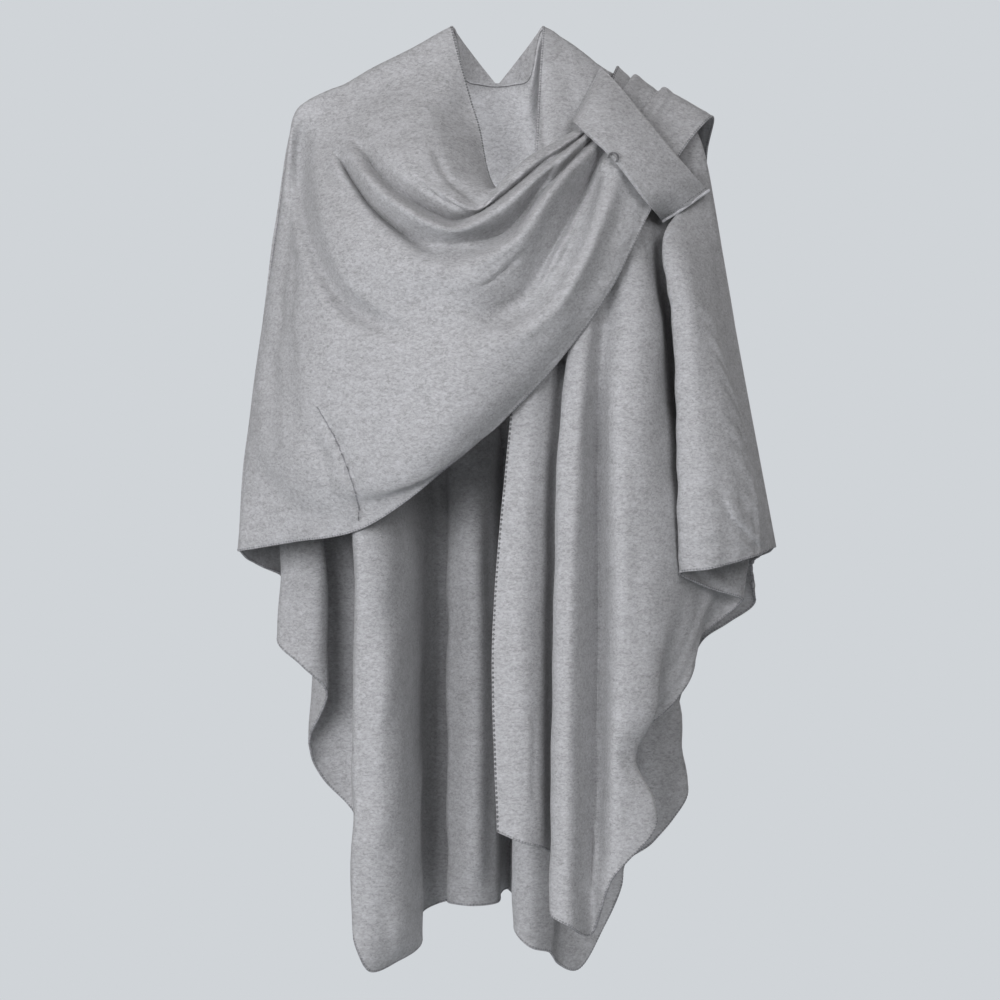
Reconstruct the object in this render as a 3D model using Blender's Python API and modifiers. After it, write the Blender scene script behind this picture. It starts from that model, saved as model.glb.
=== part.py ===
"""Knitted poncho sweater: a wrap poncho in its worn form, hollow, with no wearer.

It is cut as three rectangles of double knit, a back and two fronts, joined along the shoulders and
down the arms.  The right front is thrown across the chest, passes under a strap on the left shoulder
and hangs behind.  A small piece finishes the back of the neck.  Left and right are the wearer's in
names, and X runs to the viewer's right, Y away from the viewer and Z up.

The origin is at the shoulders, in the plane Y = 0 of the shoulder and arm seams.  Lengths are in
millimetres.  A fold's stations are drawn in that plane as they are seen from EYE, and their depth is
its own value, so that a fold keeps its outline whatever its depth.
"""
import math

import bpy
import numpy as np
from mathutils import Vector

MM = 0.001
EYE = (3, -4200, -428)        # point that the folds are drawn from

CLOTH = 2.5                   # wall of one layer of double knit
STRAP_CLOTH = 4.0             # two layers sewn together
SEAM_GAP = 0.5                # between the middle surfaces of two pieces at a seam
LIP = 6                       # how far cloth runs level from the shoulder and arm line
LIP_FALL = 0.2                # how far it drops over that length

# right front, a row for each fold from its neck edge to its side edge:
# top on the shoulder and arm line (x, z), then (x, z, y) at shoulder, chest, sag, turn, rise and strap
RIGHT_FRONT_FOLDS = (
    ("front edge", (-48, 77), (-40, 43, -20), (-22, -19, -46), (-2, -94, -90),
     (13, -91, -98), (36, -82, -98), (93, -45, -66)),
    ("neck roll", (-60, 71), (-56, 36, -26), (-44, -34, -74), (-7, -99, -120),
     (10, -84, -119), (36, -61, -116), (91, -28, -74)),
    ("under A", (-90, 54), (-92, 21, -28), (-78, -51, -96), (-17, -109, -131),
     (9, -89, -132), (39, -62, -126), (93, -29, -80)),
    ("ridge A", (-134, 32), (-138, 0, -26), (-104, -71, -108), (-26, -118, -141),
     (7, -95, -135), (42, -66, -130), (95, -31, -83)),
    ("valley AB", (-163, 15), (-163, -15, -24), (-117, -83, -100), (-40, -129, -128),
     (3, -106, -126), (44, -73, -116), (97, -33, -76)),
    ("ridge B", (-179, 9), (-181, -24, -22), (-122, -98, -116), (-50, -139, -150),
     (3, -118, -142), (48, -79, -134), (100, -35, -86)),
    ("valley BC", (-192, 3), (-194, -32, -18), (-134, -120, -104), (-48, -157, -130),
     (10, -144, -120), (54, -91, -108), (103, -40, -74)),
    ("ridge C", (-203, -3), (-205, -41, -16), (-152, -146, -118), (-42, -182, -158),
     (17, -153, -151), (61, -95, -138), (108, -47, -91)),
    ("valley CD", (-212, -11), (-212, -56, -14), (-170, -175, -108), (-38, -228, -150),
     (21, -210, -128), (69, -140, -108), (116, -54, -76)),
    ("ridge D", (-216, -19), (-215, -70, -15), (-176, -194, -102), (-34, -246, -154),
     (27, -223, -148), (76, -152, -136), (121, -58, -94)),
    ("face D", (-220, -34), (-219, -92, -18), (-183, -222, -100), (-50, -297, -160),
     (24, -258, -154), (88, -180, -143), (131, -70, -98)),
    ("flank 1", (-226, -78), (-221, -138, -24), (-194, -261, -97), (-63, -334, -156),
     (25, -278, -149), (93, -190, -138), (140, -82, -95)),
    ("flank 2", (-235, -150), (-228, -198, -30), (-202, -306, -92), (-78, -364, -150),
     (27, -291, -142), (98, -198, -131), (147, -93, -92)),
    ("flank 3", (-248, -230), (-240, -278, -34), (-207, -355, -86), (-90, -391, -140),
     (29, -301, -132), (103, -205, -122), (153, -102, -89)),
    ("flank 4", (-261, -321), (-250, -364, -38), (-198, -411, -86), (-90, -409, -128),
     (31, -308, -122), (108, -211, -114), (158, -109, -86)),
    ("side edge", (-276, -482), (-221, -473, -44), (-142, -457, -92), (-46, -387, -116),
     (34, -314, -114), (112, -216, -107), (164, -118, -83)),
)
RIGHT_FRONT_ACROSS = (2, 2, 2, 2, 2, 3, 3, 3, 2, 2, 3, 2, 2, 2, 2)
RIGHT_FRONT_ALONG = (1, 2, 3, 3, 2, 2, 3, 2, 2, 2, 2, 2, 2)

# right front beyond the strap, a row for each line from its front edge to its side edge:
# (x, y, z) at the front edge, (x, y, z) at the side edge, direction that its pleats stand out in
TAIL_LINES = (
    ((124, -18, 26), (200, -42, -52), (0.3, -0.8, 0.5)),
    ((128, 4, 32), (231, 0, -15), (0.2, 0.0, 1.0)),
    ((124, 68, 6), (228, 58, -48), (0.1, 0.8, 0.6)),
    ((112, 126, -90), (226, 88, -110), (0.0, 1.0, 0.1)),
    ((98, 134, -300), (222, 92, -160), (0.0, 1.0, 0.0)),
    ((84, 132, -540), (216, 92, -215), (0.0, 1.0, 0.0)),
)
# share of each fold's way from the front edge to the side edge there; a pleat starts at each of TAIL_PLEATS
TAIL_SHARES = (0, 0.05, 0.11, 0.16, 0.185, 0.27, 0.36, 0.45, 0.475, 0.54, 0.61, 0.68, 0.76, 0.84, 0.92, 1)
TAIL_PLEATS = (0, 0.172, 0.462, 1)
TAIL_PLEAT_DEPTH = 7

# left front, a row for each fold from its front edge to its cuff:
# top on the shoulder and arm line (x, z), then (x, z, y) at collar, chest, ribs, waist, hip and hem
LEFT_FRONT_FOLDS = (
    ("front edge", (49, 77), (44, 0, -48), (39, -96, -82), (25, -220, -96),
     (14, -342, -102), (-5, -578, -108), (0, -783, -110)),
    ("flat", (59, 72), (59, 0, -47), (58, -96, -83), (46, -220, -98),
     (35, -342, -105), (25, -578, -113), (28, -795, -114)),
    ("under pleat", (67, 66), (71, -2, -44), (74, -96, -80), (61, -220, -90),
     (53, -342, -93), (46, -578, -96), (49, -800, -96)),
    ("pleat back", (75, 61), (80, -4, -41), (87, -97, -73), (77, -220, -70),
     (71, -332, -68), (66, -578, -66), (69, -813, -64)),
    ("pleat turn", (81, 57), (88, -7, -40), (94, -100, -72), (89, -220, -78),
     (85, -332, -80), (87, -578, -74), (88, -826, -72)),
    ("pleat ridge", (89, 51), (96, -12, -40), (102, -103, -76), (87, -212, -95),
     (70, -321, -107), (61, -578, -117), (57, -870, -117)),
    ("ridge face", (98, 44), (106, -17, -39), (111, -107, -77), (100, -222, -102),
     (88, -342, -118), (78, -578, -128), (75, -883, -127)),
    ("soft valley", (110, 34), (117, -24, -37), (122, -112, -74), (115, -226, -82),
     (108, -342, -88), (107, -578, -88), (100, -893, -94)),
    ("broad ridge", (126, 25), (131, -32, -34), (134, -118, -72), (134, -230, -96),
     (129, -342, -113), (132, -578, -120), (122, -835, -114)),
    ("broad side", (140, 16), (141, -40, -31), (142, -122, -69), (150, -232, -98),
     (148, -342, -112), (156, -578, -116), (169, -779, -106)),
    ("edge roll", (153, 9), (150, -47, -28), (150, -126, -66), (163, -234, -90),
     (163, -342, -102), (171, -578, -106), (171, -752, -98)),
    ("edge hollow", (164, 2), (157, -54, -25), (155, -131, -62), (172, -236, -76),
     (174, -342, -86), (185, -556, -90), (149, -703, -84)),
    ("under sleeve", (174, -4), (165, -61, -22), (162, -136, -57), (176, -238, -54),
     (185, -342, -62), (204, -524, -64), (192, -642, -66)),
    ("inner turn", (184, -10), (173, -68, -20), (169, -141, -42), (183, -240, -22),
     (196, -342, -20), (224, -494, -36), (211, -606, -50)),
    ("inner back", (193, -16), (182, -75, -18), (179, -146, -30), (200, -242, -4),
     (216, -342, 2), (247, -476, -14), (211, -581, -34)),
    ("back line", (200, -22), (189, -82, -17), (189, -150, -25), (218, -244, 0),
     (234, -342, 10), (264, -460, 4), (256, -542, -4)),
    ("back turn", (207, -29), (196, -89, -18), (195, -150, -27), (226, -244, -9),
     (242, -342, 2), (269, -452, -4), (262, -535, -12)),
    ("middle leg", (213, -37), (202, -96, -22), (195, -150, -46), (214, -240, -42),
     (222, -342, -38), (230, -445, -46), (226, -522, -50)),
    ("sleeve ridge", (218, -49), (207, -105, -30), (179, -148, -73), (188, -236, -82),
     (192, -321, -86), (194, -428, -88), (196, -506, -84)),
    ("sleeve face", (224, -73), (215, -120, -30), (200, -171, -76), (208, -246, -92),
     (212, -321, -98), (219, -417, -101), (226, -502, -96)),
    ("sleeve side", (233, -123), (229, -166, -30), (228, -225, -66), (235, -280, -78),
     (241, -332, -83), (249, -407, -86), (256, -494, -80)),
    ("outer side", (250, -225), (249, -262, -30), (252, -305, -48), (259, -335, -56),
     (264, -364, -61), (273, -417, -64), (279, -487, -57)),
    ("cuff", (297, -478), (296, -479, -10), (294, -479, -17), (292, -480, -21),
     (291, -480, -26), (289, -482, -32), (287, -483, -36)),
)
LEFT_FRONT_CELLS = 2          # between two folds
LEFT_FRONT_ALONG = (1, 2, 2, 2, 2, 3, 3)

# back, a row for each fold from the right cuff to the left cuff:
# top (x, z), then (x, y) at arm, waist and knee, then the hem (x, z, y)
BACK_FOLDS = (
    ("cuff right", (-276, -482), (-269, 30), (-263, 46), (-251, 58), (-232, -506, 70)),
    ("mouth", (-271, -396), (-260, 46), (-249, 62), (-234, 76), (-218, -518, 86)),
    ("turn 1", (-264, -342), (-251, 54), (-236, 72), (-217, 84), (-204, -535, 92)),
    ("fold 1 ridge", (-258, -294), (-243, 56), (-234, 60), (-231, 52), (-235, -578, 44)),
    ("fold 1 face", (-251, -246), (-228, 56), (-215, 54), (-209, 36), (-209, -605, 30)),
    ("fold 1 side", (-245, -198), (-215, 60), (-198, 58), (-184, 42), (-183, -633, 36)),
    ("turn 2", (-240, -155), (-211, 68), (-201, 78), (-194, 80), (-201, -690, 72)),
    ("hollow 1", (-234, -118), (-202, 72), (-189, 88), (-181, 96), (-188, -723, 86)),
    ("hollow 1 side", (-229, -83), (-195, 62), (-166, 80), (-149, 86), (-151, -764, 80)),
    ("tack leg", (-225, -56), (-196, 4), (-157, 8), (-142, 18), (-144, -808, 26)),
    ("tack", (-221, -37), (-195, -80), (-154, -82), (-153, -60), (-155, -888, -48)),
    ("tack side", (-218, -21), (-186, -80), (-146, -84), (-144, -65), (-149, -910, -52)),
    ("fold 2 face", (-212, -9), (-168, -6), (-123, -66), (-125, -58), (-137, -932, -46)),
    ("fold 2 right", (-200, -1), (-153, 60), (-102, -16), (-102, -24), (-106, -921, -16)),
    ("fold 2 roll", (-183, 7), (-129, 92), (-91, 36), (-87, 22), (-82, -903, 22)),
    ("hollow 2 left", (-164, 15), (-106, 100), (-78, 68), (-78, 72), (-81, -869, 74)),
    ("hollow 2", (-142, 27), (-85, 104), (-67, 80), (-61, 92), (-63, -859, 92)),
    ("hollow 2 right", (-119, 39), (-67, 105), (-55, 74), (-45, 76), (-44, -855, 80)),
    ("fold 3 ridge", (-100, 49), (-55, 105), (-50, 50), (-52, 34), (-51, -859, 34)),
    ("fold 3 face", (-80, 60), (-42, 105), (-29, 40), (-29, 20), (-27, -862, 20)),
    ("fold 3 side", (-63, 68), (-29, 106), (-11, 54), (-5, 34), (-1, -859, 36)),
    ("hollow 3 left", (-49, 75), (-17, 108), (0, 90), (3, 84), (3, -849, 82)),
    ("hollow 3", (-35, 21), (-6, 110), (7, 106), (12, 108), (12, -844, 106)),
    ("hollow 3 right", (-18, 15), (4, 110), (16, 94), (25, 84), (25, -861, 80)),
    ("fold 4 ridge", (0, 13), (15, 110), (18, 70), (17, 18), (19, -890, 6)),
    ("fold 4 face", (18, 15), (27, 109), (35, 62), (37, 4), (37, -907, -8)),
    ("fold 4 side", (35, 21), (42, 107), (55, 68), (59, 14), (57, -912, 6)),
    ("corner fold", (50, 75), (59, 105), (70, 80), (74, 40), (65, -924, 22)),
    ("corner", (65, 67), (78, 102), (91, 84), (97, 60), (86, -930, 44)),
    ("side 5 a", (82, 56), (97, 98), (112, 80), (119, 66), (113, -886, 62)),
    ("side 5 b", (102, 41), (117, 92), (132, 74), (136, 60), (132, -842, 66)),
    ("hollow 5", (123, 27), (134, 86), (147, 72), (147, 66), (136, -817, 70)),
    ("fold 6 ridge", (144, 14), (151, 78), (159, 60), (156, 44), (166, -794, 46)),
    ("fold 6 face", (163, 4), (166, 70), (174, 52), (179, 52), (188, -768, 54)),
    ("fold 6 side", (180, -6), (183, 62), (192, 52), (185, 60), (203, -740, 64)),
    ("turn 6", (195, -16), (198, 58), (200, 66), (179, 86), (187, -685, 90)),
    ("hollow 7", (209, -29), (213, 56), (219, 74), (200, 92), (204, -610, 94)),
    ("fold 7 left", (220, -54), (230, 54), (236, 74), (224, 86), (219, -578, 88)),
    ("fold 7 face", (231, -112), (245, 52), (253, 66), (249, 76), (247, -559, 82)),
    ("fold 7 side", (247, -203), (259, 50), (264, 60), (264, 68), (275, -538, 72)),
    ("fold 7 ridge", (265, -310), (271, 44), (271, 50), (269, 58), (273, -517, 66)),
    ("cuff left", (297, -478), (291, 24), (286, 34), (278, 44), (271, -494, 54)),
)
BACK_CELLS = 2                # between two folds
BACK_ALONG = (1, 1, 2, 3, 2, 3, 3)
LEVELS = (0.34, 0.48, 0.73)   # arm, waist and knee, as shares of a fold's drop
YOKE_LEVELS = (0.1, 0.35)     # stations that round the back over the shoulder blade, as shares to the arm
BLADE_DROP = 120              # height of that rounding
BEHIND_ARM = 54               # least depth of the back behind an arm

# depth of the back's neck seam at each fold that it cuts off, and the piece that fills its V
NECK_DEPTH = {"hollow 3 left": 4, "hollow 3": 30, "hollow 3 right": 50, "fold 4 ridge": 58,
              "fold 4 face": 50, "fold 4 side": 30, "corner fold": 4}
NECK_LIP_OUT = 2              # how far the back runs out over its level lip
NECK_HALF = 47                # half the width of the V
NECK_V_LOW = 21
NECK_V_HIGH = 76
NECK_GAP = 1.5                # between the two pieces' middle surfaces
NECK_LEAST = 3                # least height of the piece, at its two ends
NECK_CELLS = 2                # up each half of its height

# strap, a row for each section from its neck end to its arm end: (x, z, y) at lower edge, middle
# and upper edge
STRAP = (
    ((82, -23, -60), (97, 5, -44), (111, 33, -14)),
    ((88, -29, -92), (104, 0, -70), (120, 25, -38)),
    ((124, -62, -108), (146, -46, -90), (168, -32, -66)),
    ((158, -106, -102), (180, -88, -82), (203, -74, -57)),
    ((176, -128, -92), (202, -113, -66), (225, -97, -38)),
)
STRAP_CELLS = 3               # between two sections, and between its edges and its middle
STRAP_NECK_END = 12           # from the left front's middle surface to the strap's at its neck end
STRAP_ARM_END = 13            # the same at its arm end
NEAREST = 4                   # points that a place on a panel is worked out from

# thread loop on the strap's lower edge
LOOP_PLACE = 0.5              # share of that edge
LOOP_RADIUS = 5
LOOP_THREAD = 1               # radius of the thread
LOOP_OUT = 3.9                # in front of the strap's middle surface
LOOP_START = -60              # degrees
LOOP_SWEEP = 250
LOOP_POINTS = 12

HEATHER = (0.376, 0.381, 0.397)
KNIT_ROUGHNESS = 0.9
THREAD_ROUGHNESS = 0.8


def seen(x, z, y):
    """The point at depth y that covers (x, z) of the shoulder plane, seen from EYE."""
    reach = 1 - y / EYE[1]
    return (EYE[0] + (x - EYE[0]) * reach, y, EYE[2] + (z - EYE[2]) * reach)


def through(points, steps):
    """A smooth run through points along their first axis, with steps[i] cells in span i.

    It is a centripetal Catmull-Rom curve, which makes no loops where spans differ in length.
    """
    points = np.asarray(points, float)
    ends = (2 * points[0] - points[1], 2 * points[-1] - points[-2])
    held = np.concatenate((ends[0][None], points, ends[1][None]))
    spans = np.diff(held, axis=0)
    knots = np.sqrt(np.maximum(np.linalg.norm(spans, axis=-1, keepdims=True), 1e-3))
    run = []
    for i, cells in enumerate(steps):
        before, here, after = knots[i], knots[i + 1], knots[i + 2]
        step = spans[i + 1]
        leave = here * (spans[i] / before - (spans[i] + step) / (before + here)) + step
        arrive = here * (spans[i + 2] / after - (spans[i + 2] + step) / (after + here)) + step
        for k in range(cells):
            t = k / cells
            run.append(points[i] * (2 * t**3 - 3 * t**2 + 1) + leave * (t**3 - 2 * t**2 + t)
                       + points[i + 1] * (3 * t**2 - 2 * t**3) + arrive * (t**3 - t**2))
    run.append(points[-1])
    return np.array(run)


def loft(rows, across, along):
    """Grid of points from rows of stations: along[i] cells between stations, across[i] between rows."""
    down = through(np.swapaxes(np.asarray(rows, float), 0, 1), along)
    return through(np.swapaxes(down, 0, 1), across)


def over_the_seam(top, side):
    """The first two stations of a fold: the seam itself and the level lip beside it.

    side is -1 for a front and 1 for the back.
    """
    x, z = top
    return [(x, side * SEAM_GAP / 2, z), (x, side * LIP, z - LIP_FALL)]


# ---- pieces as grids of points ----

def left_front_grid(across, along):
    rows = []
    for _, top, *stations in LEFT_FRONT_FOLDS:
        rows.append(over_the_seam(top, -1) + [seen(*s) for s in stations])
    return loft(rows, across, along)


def tail_stations(share):
    """Where a fold of the right front runs beyond the strap: over the shoulder and down the back.

    Its knife pleats each start high, on top of the one before, and fall evenly to the next.
    """
    start, end = next(pair for pair in zip(TAIL_PLEATS, TAIL_PLEATS[1:]) if share <= pair[1])
    rise = TAIL_PLEAT_DEPTH * (0.5 - (share - start) / (end - start))
    stations = []
    for near, far, out in TAIL_LINES:
        point = Vector(near).lerp(Vector(far), share)
        stations.append(tuple(point + Vector(out) * rise))
    return stations


def right_front_grid(across, along):
    rows = []
    for (_, top, *stations), share in zip(RIGHT_FRONT_FOLDS, TAIL_SHARES):
        rows.append(over_the_seam(top, -1) + [seen(*s) for s in stations] + tail_stations(share))
    return loft(rows, across, along)


def shoulder_round(start, end):
    """Stations between the seam and the arm level, where the back rounds over the shoulder blade."""
    start, end = Vector(start), Vector(end)
    stations = []
    for share in YOKE_LEVELS:
        point = start.lerp(end, share)
        drop = min((start.z - point.z) / BLADE_DROP, 1)
        behind = max(end.y, BEHIND_ARM)
        point.y = start.y + (behind - start.y) * math.sqrt(1 - (1 - drop) ** 2)
        stations.append(tuple(point))
    return stations


def in_front(grid, x, z, out):
    """The place out in front of a panel's middle surface where it covers (x, z), seen from EYE."""
    flat = grid.reshape(-1, 3)
    reach = 1 - flat[:, 1] / EYE[1]
    away = np.hypot(EYE[0] + (flat[:, 0] - EYE[0]) / reach - x, EYE[2] + (flat[:, 2] - EYE[2]) / reach - z)
    near = np.argsort(away)[:NEAREST]
    weight = 1 / (away[near] + 1)
    return seen(x, z, (flat[near, 1] * weight).sum() / weight.sum() - out)


def back_grid(across, along):
    rows = []
    for name, top, arm, waist, knee, hem in BACK_FOLDS:
        x, z = top
        if name in NECK_DEPTH:
            depth = NECK_DEPTH[name]
            stations = [seen(x, z, depth), seen(x, z - LIP, depth + NECK_LIP_OUT)]
        else:
            stations = over_the_seam(top, 1)
        end = seen(*hem)
        drop = end[2] - z
        for share, (px, py) in zip(LEVELS, (arm, waist, knee)):
            x_here, y_here, _ = seen(px, z + drop * share, py)
            stations.append((x_here, y_here, z + drop * share))
        stations.append(end)
        rows.append(stations[:2] + shoulder_round(stations[1], stations[2]) + stations[2:])
    return loft(rows, across, along)


def neck_band_grid(seam, along):
    """From the back's own neck seam up to the two straight lines that meet in a V."""
    rows = []
    for i, point in enumerate(seam):
        run = Vector(seam[min(i + 1, len(seam) - 1)] - seam[max(i - 1, 0)]).normalized()
        up = Vector((0, 0, 1)) - run * run.z
        low = Vector(point) + up.normalized() * NECK_GAP
        top = NECK_V_LOW + (NECK_V_HIGH - NECK_V_LOW) * min(abs(low.x) / NECK_HALF, 1)
        high = Vector((low.x, low.y, max(top, low.z + NECK_LEAST)))
        rows.append([tuple(low), tuple((low + high) / 2), tuple(high)])
    return loft(rows, spans(len(rows) - 1, 1), along)


def strap_grid(left_front, across, along):
    """The strap's middle surface: its two ends lie on the left front, and it clears the folds between."""
    rows = [[seen(*station) for station in row] for row in STRAP]
    for end, out in ((0, STRAP_NECK_END), (-1, STRAP_ARM_END)):
        rows[end] = [in_front(left_front, x, z, out) for x, z, _ in STRAP[end]]
    return loft(rows, across, along)


def sewn_loop(grid, collection):
    """A thread loop that stands on the strap's lower edge."""
    edge = grid[:, 0]
    at = edge[round(LOOP_PLACE * (len(edge) - 1))]
    centre = Vector(at) + Vector((0, -LOOP_OUT, 0))
    curve = bpy.data.curves.new("strap_loop", "CURVE")
    curve.dimensions = "3D"
    curve.bevel_depth = LOOP_THREAD * MM
    curve.bevel_resolution = 2
    curve.use_fill_caps = True
    spline = curve.splines.new("POLY")
    spline.points.add(LOOP_POINTS - 1)
    for i, point in enumerate(spline.points):
        turn = math.radians(LOOP_START + LOOP_SWEEP * i / (LOOP_POINTS - 1))
        place = centre + Vector((math.cos(turn), 0, math.sin(turn))) * LOOP_RADIUS
        point.co = (*(place * MM), 1)
    curve.materials.append(material("strap_loop thread", HEATHER, THREAD_ROUGHNESS))
    loop = bpy.data.objects.new("strap_loop", curve)
    collection.objects.link(loop)
    return loop


# ---- objects ----

def material(name, colour, roughness):
    made = bpy.data.materials.new(name)
    made.use_nodes = True
    shader = made.node_tree.nodes["Principled BSDF"]
    shader.inputs["Base Color"].default_value = (*colour, 1)
    shader.inputs["Roughness"].default_value = roughness
    return made


def cloth(name, grid, thickness, collection):
    """A cloth wall: a grid primitive laid on the points of grid, thickened both ways."""
    wide, long = grid.shape[0] - 1, grid.shape[1] - 1
    bpy.ops.mesh.primitive_grid_add(x_subdivisions=wide, y_subdivisions=long)
    piece = bpy.context.object
    piece.name = piece.data.name = name
    points = np.swapaxes(grid, 0, 1).reshape(-1, 3) * MM
    piece.data.vertices.foreach_set("co", points.ravel())
    piece.data.update()
    wall = piece.modifiers.new("wall", "SOLIDIFY")
    wall.thickness = thickness * MM
    wall.offset = 0
    piece.data.shade_smooth()
    piece.data.materials.append(material(name + " knit", HEATHER, KNIT_ROUGHNESS))
    for held in piece.users_collection:
        held.objects.unlink(piece)
    collection.objects.link(piece)
    return piece


def spans(count, cells):
    return [cells] * count


def main():
    for old in list(bpy.data.objects):
        bpy.data.objects.remove(old)
    poncho = bpy.data.collections.new("knitted_poncho_sweater")
    bpy.context.scene.collection.children.link(poncho)
    left_front = left_front_grid(spans(len(LEFT_FRONT_FOLDS) - 1, LEFT_FRONT_CELLS), LEFT_FRONT_ALONG)
    back = back_grid(spans(len(BACK_FOLDS) - 1, BACK_CELLS), BACK_ALONG)
    neck_folds = [i for i, row in enumerate(BACK_FOLDS) if row[0] in NECK_DEPTH]
    neck_seam = back[BACK_CELLS * neck_folds[0]:BACK_CELLS * neck_folds[-1] + 1, 0]
    strap = strap_grid(left_front, spans(len(STRAP) - 1, STRAP_CELLS), spans(2, STRAP_CELLS))
    cloth("front_left_panel", left_front, CLOTH, poncho)
    cloth("front_right_panel", right_front_grid(RIGHT_FRONT_ACROSS, RIGHT_FRONT_ALONG), CLOTH, poncho)
    cloth("back_panel", back, CLOTH, poncho)
    cloth("neck_band", neck_band_grid(neck_seam, spans(2, NECK_CELLS)), CLOTH, poncho)
    cloth("shoulder_strap", strap, STRAP_CLOTH, poncho)
    sewn_loop(strap, poncho)


main()
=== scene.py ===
"""Knitted poncho sweater: a wrap poncho in its worn form, hollow, with no wearer.

Brushed double knit in heather grey: a back and two fronts cut as rectangles, joined along the
shoulders and down the arms.  The right front is thrown across the chest, passes under a strap on the
left shoulder and hangs behind.  Free edges are overlocked.  X runs to the viewer's right, Y away from
the viewer and Z up, with the origin at the shoulders.  Tables and sizes are millimetres.
"""
import math
import random

import bpy
import numpy as np
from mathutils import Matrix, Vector


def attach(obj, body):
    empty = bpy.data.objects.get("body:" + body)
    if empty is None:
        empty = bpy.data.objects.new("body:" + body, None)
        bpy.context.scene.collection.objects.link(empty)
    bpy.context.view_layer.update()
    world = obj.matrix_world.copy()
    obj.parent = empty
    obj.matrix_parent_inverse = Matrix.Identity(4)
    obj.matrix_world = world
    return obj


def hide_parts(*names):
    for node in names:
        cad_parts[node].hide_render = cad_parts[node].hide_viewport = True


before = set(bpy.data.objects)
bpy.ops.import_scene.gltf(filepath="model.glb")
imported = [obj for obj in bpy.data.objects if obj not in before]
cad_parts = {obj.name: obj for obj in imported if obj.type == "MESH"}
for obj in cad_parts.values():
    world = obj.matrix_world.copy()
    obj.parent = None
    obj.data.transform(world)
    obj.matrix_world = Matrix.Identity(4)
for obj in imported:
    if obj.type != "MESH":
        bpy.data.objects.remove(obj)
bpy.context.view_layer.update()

MM = 0.001
EYE = (3, -4200, -428)        # point that the folds are drawn from

CLOTH = 2.5                   # wall of one layer of double knit
STRAP_CLOTH = 4.0             # two layers sewn together
SEAM_GAP = 0.5                # between the middle surfaces of two pieces at a seam
LIP = 6                       # how far cloth runs level from the shoulder and arm line
LIP_FALL = 0.2                # how far it drops over that length

# right front, a row for each fold from its neck edge to its side edge:
# top on the shoulder and arm line (x, z), then (x, z, y) at shoulder, chest, sag, turn, rise and strap
RIGHT_FRONT_FOLDS = (
    ("front edge", (-48, 77), (-40, 43, -20), (-22, -19, -46), (-2, -94, -90),
     (13, -91, -98), (36, -82, -98), (93, -45, -66)),
    ("neck roll", (-60, 71), (-56, 36, -26), (-44, -34, -74), (-7, -99, -120),
     (10, -84, -119), (36, -61, -116), (91, -28, -74)),
    ("under A", (-90, 54), (-92, 21, -28), (-78, -51, -96), (-17, -109, -131),
     (9, -89, -132), (39, -62, -126), (93, -29, -80)),
    ("ridge A", (-134, 32), (-138, 0, -26), (-104, -71, -108), (-26, -118, -141),
     (7, -95, -135), (42, -66, -130), (95, -31, -83)),
    ("valley AB", (-163, 15), (-163, -15, -24), (-117, -83, -100), (-40, -129, -128),
     (3, -106, -126), (44, -73, -116), (97, -33, -76)),
    ("ridge B", (-179, 9), (-181, -24, -22), (-122, -98, -116), (-50, -139, -150),
     (3, -118, -142), (48, -79, -134), (100, -35, -86)),
    ("valley BC", (-192, 3), (-194, -32, -18), (-134, -120, -104), (-48, -157, -130),
     (10, -144, -120), (54, -91, -108), (103, -40, -74)),
    ("ridge C", (-203, -3), (-205, -41, -16), (-152, -146, -118), (-42, -182, -158),
     (17, -153, -151), (61, -95, -138), (108, -47, -91)),
    ("valley CD", (-212, -11), (-212, -56, -14), (-170, -175, -108), (-38, -228, -150),
     (21, -210, -128), (69, -140, -108), (116, -54, -76)),
    ("ridge D", (-216, -19), (-215, -70, -15), (-176, -194, -102), (-34, -246, -154),
     (27, -223, -148), (76, -152, -136), (121, -58, -94)),
    ("face D", (-220, -34), (-219, -92, -18), (-183, -222, -100), (-50, -297, -160),
     (24, -258, -154), (88, -180, -143), (131, -70, -98)),
    ("flank 1", (-226, -78), (-221, -138, -24), (-194, -261, -97), (-63, -334, -156),
     (25, -278, -149), (93, -190, -138), (140, -82, -95)),
    ("flank 2", (-235, -150), (-228, -198, -30), (-202, -306, -92), (-78, -364, -150),
     (27, -291, -142), (98, -198, -131), (147, -93, -92)),
    ("flank 3", (-248, -230), (-240, -278, -34), (-207, -355, -86), (-90, -391, -140),
     (29, -301, -132), (103, -205, -122), (153, -102, -89)),
    ("flank 4", (-261, -321), (-250, -364, -38), (-198, -411, -86), (-90, -409, -128),
     (31, -308, -122), (108, -211, -114), (158, -109, -86)),
    ("side edge", (-276, -482), (-221, -473, -44), (-142, -457, -92), (-46, -387, -116),
     (34, -314, -114), (112, -216, -107), (164, -118, -83)),
)
RIGHT_FRONT_ACROSS = (2, 2, 2, 2, 2, 3, 3, 3, 2, 2, 3, 2, 2, 2, 2)
RIGHT_FRONT_ALONG = (1, 2, 3, 3, 2, 2, 3, 2, 2, 2, 2, 2, 2)

# right front beyond the strap, a row for each line from its front edge to its side edge:
# (x, y, z) at the front edge, (x, y, z) at the side edge, direction that its pleats stand out in
TAIL_LINES = (
    ((124, -18, 26), (200, -42, -52), (0.3, -0.8, 0.5)),
    ((128, 4, 32), (231, 0, -15), (0.2, 0.0, 1.0)),
    ((124, 68, 6), (228, 58, -48), (0.1, 0.8, 0.6)),
    ((112, 126, -90), (226, 88, -110), (0.0, 1.0, 0.1)),
    ((98, 134, -300), (222, 92, -160), (0.0, 1.0, 0.0)),
    ((84, 132, -540), (216, 92, -215), (0.0, 1.0, 0.0)),
)
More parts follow.
